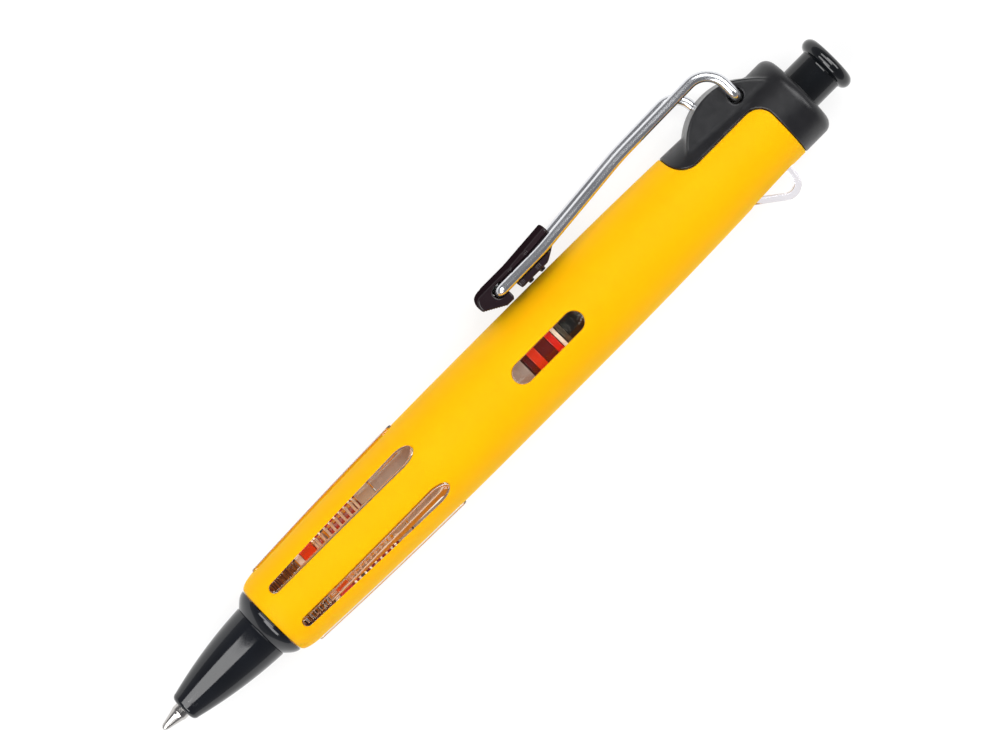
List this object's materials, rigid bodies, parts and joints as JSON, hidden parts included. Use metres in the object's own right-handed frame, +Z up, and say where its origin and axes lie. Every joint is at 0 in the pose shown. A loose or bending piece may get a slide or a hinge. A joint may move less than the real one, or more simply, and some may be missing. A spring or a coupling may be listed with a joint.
{
  "type": "retractable ballpoint pen",
  "caption": "Retractable pressurised ballpoint pen with a slotted soft grip sleeve over a clear ribbed barrel, wire clip with a moulded foot, lanyard loop and push knob.",
  "frame": {"origin": "middle of the pen's underside as it lies on its side", "axes": "+X along the pen's axis from the writing point to the push knob; +Y towards the wire clip; +Z up, through an oval side window"},
  "size_m": [0.1258, 0.0216, 0.0144],
  "materials": {
    "clear_plastic": "clear, polished",
    "yellow_elastomer": "soft, matt",
    "black_cap": "satin, fine grain",
    "white_plastic": "moulded",
    "dark_plastic": "moulded",
    "spring_steel": "drawn wire",
    "wire_steel": "drawn and tumbled wire",
    "plum_plastic": "satin gloss",
    "black_gloss": "high gloss",
    "red_plastic": "moulded",
    "dark_red_plastic": "moulded",
    "black_rubber": "greased",
    "ivory_plastic": "moulded",
    "grey_plastic": "moulded",
    "mid_grey_plastic": "moulded",
    "refill_plastic": "extruded",
    "tip_steel": "turned",
    "ink": "wet",
    "follower_gel": "greasy",
    "ball_steel": "ground"
  },
  "bodies": {
    "barrel": {"inner_barrel": "clear_plastic", "lanyard_loop": "clear_plastic", "grip_sleeve": "yellow_elastomer", "rear_cap": "black_cap", "cam_guide": "white_plastic", "spring_stop": "dark_plastic", "return_spring": "spring_steel", "plunger_spring": "spring_steel"},
    "clip": {"clip_wire": "wire_steel", "clip_foot": "plum_plastic"},
    "knob": {"push_knob": "black_gloss"},
    "pump": {"plunger_rod": "black_gloss", "piston": "red_plastic", "piston_o_rings": "black_rubber", "packing_ring": "white_plastic"},
    "rotor": {"cam_rotor": "ivory_plastic"},
    "refill": {"pressure_cylinder": "grey_plastic", "cylinder_cap": "mid_grey_plastic", "refill_collar": "dark_red_plastic", "refill_seal": "black_rubber", "refill_tube": "refill_plastic", "refill_tip": "tip_steel", "ink_column": "ink", "ink_follower": "follower_gel"},
    "ball": {"writing_ball": "ball_steel"},
    "guide": {"spring_guide": "red_plastic", "guide_washer": "white_plastic"},
    "nose": {"nose_cone": "black_gloss"}
  },
  "joints": [
    {"name": "knob_press", "type": "slide", "parent": "barrel", "child": "knob", "axis": [1, 0, 0], "range_m": [-0.0004, 0.006]},
    {"name": "pump_stroke", "type": "slide", "parent": "barrel", "child": "pump", "axis": [1, 0, 0], "range_m": [-0.0004, 0.006], "deforming": ["plunger_spring"]},
    {"name": "refill_advance", "type": "slide", "parent": "barrel", "child": "refill", "axis": [1, 0, 0], "range_m": [-0.0003, 0.0045], "deforming": ["return_spring"]},
    {"name": "rotor_turn", "type": "hinge", "parent": "pump", "child": "rotor", "pos_m": [0.03707, -0.00125, 0.00718], "axis": [1, 0, 0], "range_deg": [-4, 46]},
    {"name": "ball_roll", "type": "hinge", "parent": "refill", "child": "ball", "pos_m": [-0.06258, -0.00125, 0.00718], "axis": [0, 0, 1], "continuous": true},
    {"name": "nose_advance", "type": "slide", "parent": "barrel", "child": "guide", "axis": [-1, 0, 0], "range_m": [0, 0.006]},
    {"name": "nose_turn", "type": "hinge", "parent": "guide", "child": "nose", "pos_m": [-0.04793, -0.00125, 0.00718], "axis": [-1, 0, 0], "range_deg": [0, 2700.5]},
    {"name": "clip_flex", "type": "hinge", "parent": "barrel", "child": "clip", "pos_m": [0.04777, 0.00456, 0.00718], "axis": [0, 0, -1], "range_deg": [0, 6], "stiffness_Nm_per_rad": 0.1}
  ],
  "couplings": [
    {"joint": "pump_stroke", "follows": "knob_press", "ratio": 1},
    {"joint": "refill_advance", "follows": "knob_press", "ratio": 0.75},
    {"joint": "rotor_turn", "follows": "knob_press", "rad_per_m": 130.9},
    {"joint": "nose_turn", "follows": "nose_advance", "rad_per_m": 7854}
  ]
}
